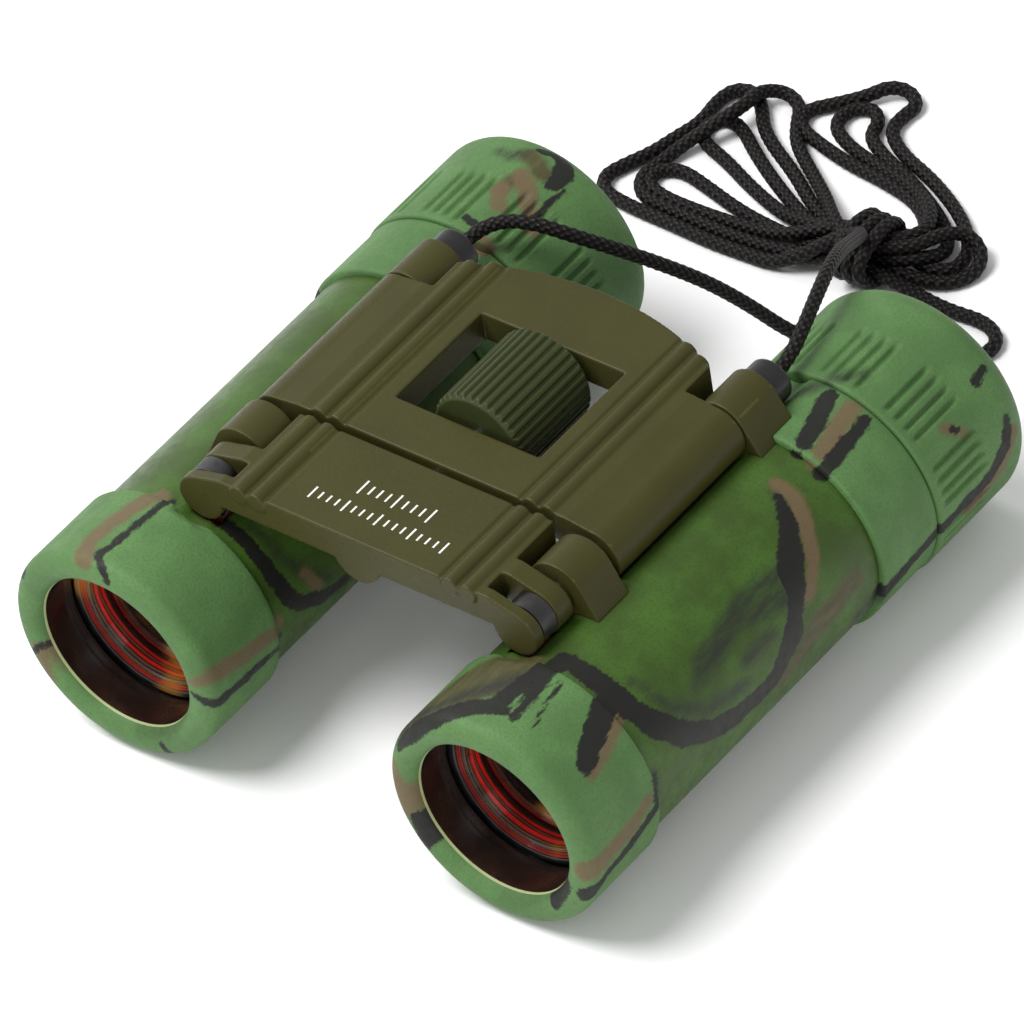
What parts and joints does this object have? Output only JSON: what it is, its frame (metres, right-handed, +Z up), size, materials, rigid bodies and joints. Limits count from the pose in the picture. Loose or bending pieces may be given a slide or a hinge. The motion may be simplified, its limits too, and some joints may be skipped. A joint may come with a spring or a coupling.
{
  "type": "binoculars",
  "caption": "Folding pocket binoculars: straight barrels on hinged lugs under a ribbed centre bridge with a focus wheel, camouflage finish and a cord neck strap.",
  "frame": {"origin": "centre of the binoculars' bounding box on the surface under the barrels, measured without the neck strap", "axes": "+X across the barrels to the user's left hand, +Y from the objectives to the eyepieces, +Z up"},
  "size_m": [0.0995, 0.1652, 0.0444],
  "materials": {
    "bridge_paint": "satin",
    "wheel_paint": "satin",
    "armour_dark": "satin",
    "armour_light": "matte",
    "black_plastic": "satin",
    "steel": "brushed",
    "brass": "satin",
    "coated_glass": "coated",
    "clear_glass": "polished",
    "strap_cord": "braided"
  },
  "bodies": {
    "bridge": {"rear_bridge": "bridge_paint", "left_hinge_pin": "steel", "right_hinge_pin": "steel", "left_strap_cap": "black_plastic", "right_strap_cap": "black_plastic", "neck_strap_left_lead": "strap_cord", "neck_strap_right_lead": "strap_cord", "strap_tie": "strap_cord", "strap_hank_left": "strap_cord", "strap_hank_right": "strap_cord"},
    "wheel": {"focus_wheel": "wheel_paint", "focus_shaft": "steel"},
    "front_plate": {"front_bridge": "bridge_paint", "focus_nut": "brass"},
    "left_tube": {"left_objective_hood": "armour_light", "left_barrel": "armour_dark", "left_sleeve": "armour_light", "left_front_lug": "bridge_paint", "left_rear_lug": "bridge_paint", "left_prism_holder": "black_plastic", "left_front_prism": "clear_glass", "left_rear_prism": "clear_glass", "left_eyepiece_tube": "black_plastic", "left_field_stop": "black_plastic", "left_field_lens": "clear_glass", "left_eyecup": "armour_light", "left_eye_lens_cell": "black_plastic", "left_eye_lens": "clear_glass"},
    "right_tube": {"right_objective_hood": "armour_light", "right_barrel": "armour_dark", "right_sleeve": "armour_light", "right_front_lug": "bridge_paint", "right_rear_lug": "bridge_paint", "right_prism_holder": "black_plastic", "right_front_prism": "clear_glass", "right_rear_prism": "clear_glass", "right_eyepiece_tube": "black_plastic", "right_field_stop": "black_plastic", "right_field_lens": "clear_glass"},
    "right_diopter": {"right_eyecup": "armour_light", "right_eye_lens_cell": "black_plastic", "right_eye_lens": "clear_glass"},
    "left_objective": {"left_objective_cell": "black_plastic", "left_retaining_ring": "black_plastic", "left_objective_lens": "coated_glass"},
    "right_objective": {"right_objective_cell": "black_plastic", "right_retaining_ring": "black_plastic", "right_objective_lens": "coated_glass"}
  },
  "joints": [
    {"name": "focus_wheel_turn", "type": "hinge", "parent": "bridge", "child": "wheel", "pos_m": [0, 0, 0.03685], "axis": [0, 1, 0], "range_deg": [-120, 240]},
    {"name": "front_bridge_slide", "type": "slide", "parent": "bridge", "child": "front_plate", "axis": [0, -1, 0], "range_m": [-0.0008, 0.0016]},
    {"name": "left_fold", "type": "hinge", "parent": "bridge", "child": "left_tube", "pos_m": [0.0269, 0, 0.03595], "axis": [0, 1, 0], "range_deg": [-11.5, 20]},
    {"name": "right_fold", "type": "hinge", "parent": "bridge", "child": "right_tube", "pos_m": [-0.0269, 0, 0.03595], "axis": [0, -1, 0], "range_deg": [-11.5, 20]},
    {"name": "left_objective_slide", "type": "slide", "parent": "left_tube", "child": "left_objective", "axis": [0, -1, 0], "range_m": [-0.0008, 0.0016]},
    {"name": "right_objective_slide", "type": "slide", "parent": "right_tube", "child": "right_objective", "axis": [0, -1, 0], "range_m": [-0.0008, 0.0016]},
    {"name": "diopter_turn", "type": "hinge", "parent": "right_tube", "child": "right_diopter", "pos_m": [-0.0324, 0, 0.01735], "axis": [0, 1, 0], "range_deg": [-60, 60]}
  ],
  "couplings": [
    {"joint": "focus_wheel_turn", "follows": "front_bridge_slide", "rad_per_m": 2617.9},
    {"joint": "left_objective_slide", "follows": "front_bridge_slide", "ratio": 1},
    {"joint": "right_objective_slide", "follows": "front_bridge_slide", "ratio": 1}
  ]
}
